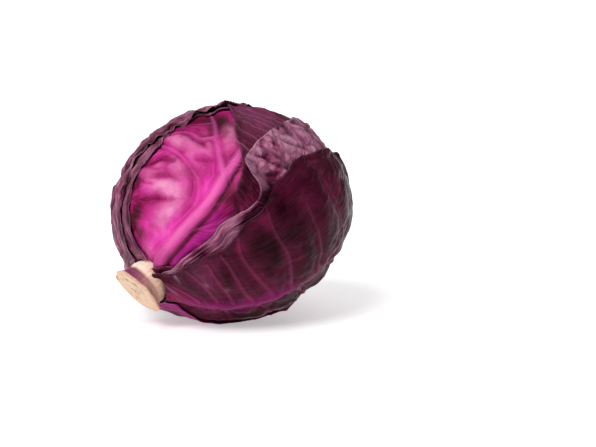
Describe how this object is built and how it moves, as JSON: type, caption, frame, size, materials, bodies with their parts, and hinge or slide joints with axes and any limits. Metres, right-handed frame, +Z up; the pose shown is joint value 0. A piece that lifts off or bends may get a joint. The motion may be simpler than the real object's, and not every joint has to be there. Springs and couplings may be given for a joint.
{
  "type": "red cabbage head",
  "caption": "Whole red cabbage head with a cut stump, a dense heart and overlapping wrapper leaves, lying on its shoulder.",
  "frame": {"origin": "middle of the small flat spot under the head, on the surface that it rests on", "axes": "+Z up, -Y towards the side that is shown, and the stump points to -X, towards -Y and down"},
  "size_m": [0.1736, 0.1724, 0.1595],
  "materials": {
    "stem": "matte",
    "heart": "satin",
    "leaf_front": "satin",
    "leaf_crown": "satin",
    "leaf_left": "satin",
    "leaf_top": "satin",
    "leaf_right": "satin",
    "leaf_outer_left": "satin",
    "leaf_under": "satin",
    "leaf_back": "satin"
  },
  "bodies": {
    "root": {"stem": "stem", "heart": "heart", "leaf_front": "leaf_front", "leaf_crown": "leaf_crown", "leaf_left": "leaf_left", "leaf_top": "leaf_top", "leaf_right": "leaf_right", "leaf_outer_left": "leaf_outer_left", "leaf_under": "leaf_under", "leaf_back": "leaf_back"}
  },
  "joints": []
}
